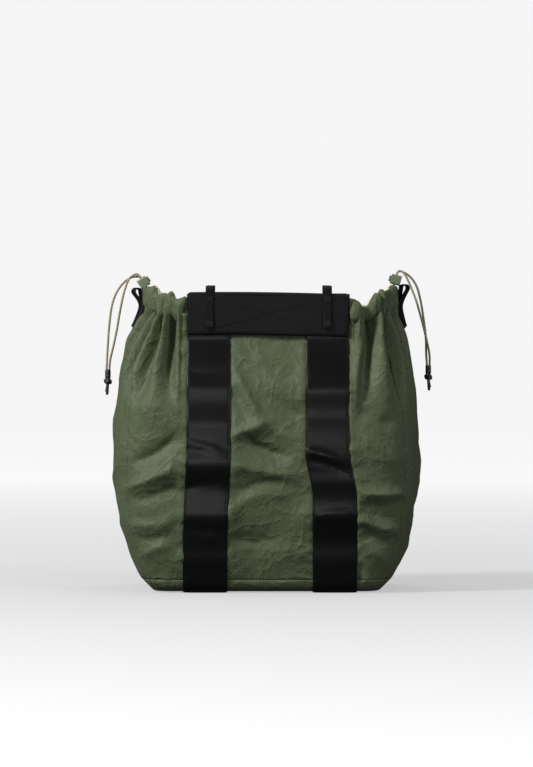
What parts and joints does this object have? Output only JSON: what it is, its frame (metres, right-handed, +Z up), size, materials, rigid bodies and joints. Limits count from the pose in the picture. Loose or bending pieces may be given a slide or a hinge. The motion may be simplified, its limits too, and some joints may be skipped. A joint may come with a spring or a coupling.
{
  "type": "rope storage bag",
  "caption": "Upright drawstring rope bag of olive fabric with webbing straps under the base, rim bands, hanging loops and spring cord locks.",
  "frame": {"origin": "middle of the resting base, on the surface the bag stands on", "axes": "+X to the bag's right as seen from the front, -Y to the front, +Z up to the mouth"},
  "size_m": [0.3751, 0.2146, 0.3637],
  "materials": {
    "olive_fabric": "fine woven nylon with a soft sheen",
    "lining_fabric": "thin pale woven lining",
    "stiffener_sheet": "plain plastic sheet",
    "black_webbing": "satin woven webbing",
    "khaki_cord": "braided cord",
    "black_cord_end": "moulded sleeve and knotted tail",
    "sage_plastic": "satin moulded plastic",
    "spring_steel": "plain spring wire"
  },
  "bodies": {
    "bag": {"front_panel": "olive_fabric", "back_panel": "olive_fabric", "left_side_panel": "olive_fabric", "right_side_panel": "olive_fabric", "base_panel": "olive_fabric", "lining": "lining_fabric", "base_stiffener": "stiffener_sheet", "left_strap": "black_webbing", "right_strap": "black_webbing", "front_band": "black_webbing", "back_band": "black_webbing", "front_left_loop": "black_webbing", "front_right_loop": "black_webbing", "back_left_loop": "black_webbing", "back_right_loop": "black_webbing", "left_side_loop": "black_webbing", "right_side_loop": "black_webbing", "left_front_channel": "olive_fabric", "left_back_channel": "olive_fabric", "right_front_channel": "olive_fabric", "right_back_channel": "olive_fabric"},
    "left_lock": {"left_lock_body": "sage_plastic", "left_lock_spring": "spring_steel", "left_front_cord": "khaki_cord", "left_back_cord": "khaki_cord", "left_cord_end": "black_cord_end"},
    "left_button": {"left_lock_plunger": "sage_plastic"},
    "right_lock": {"right_lock_body": "sage_plastic", "right_lock_spring": "spring_steel", "right_front_cord": "khaki_cord", "right_back_cord": "khaki_cord", "right_cord_end": "black_cord_end"},
    "right_button": {"right_lock_plunger": "sage_plastic"}
  },
  "joints": [
    {"name": "left_drawstring_slide", "type": "slide", "parent": "bag", "child": "left_lock", "axis": [-0.6088, 0, 0.7934], "range_m": [0, 0.04], "deforming": ["left_front_cord", "left_back_cord"]},
    {"name": "left_button_press", "type": "slide", "parent": "left_lock", "child": "left_button", "axis": [-0.7934, 0, -0.6088], "range_m": [0, 0.002], "stiffness_N_per_m": 300, "springref_m": -0.002, "deforming": ["left_lock_spring"]},
    {"name": "right_drawstring_slide", "type": "slide", "parent": "bag", "child": "right_lock", "axis": [0.2588, 0, 0.9659], "range_m": [0, 0.04], "deforming": ["right_front_cord", "right_back_cord"]},
    {"name": "right_button_press", "type": "slide", "parent": "right_lock", "child": "right_button", "axis": [0.9659, 0, -0.2588], "range_m": [0, 0.002], "stiffness_N_per_m": 300, "springref_m": -0.002, "deforming": ["right_lock_spring"]}
  ]
}
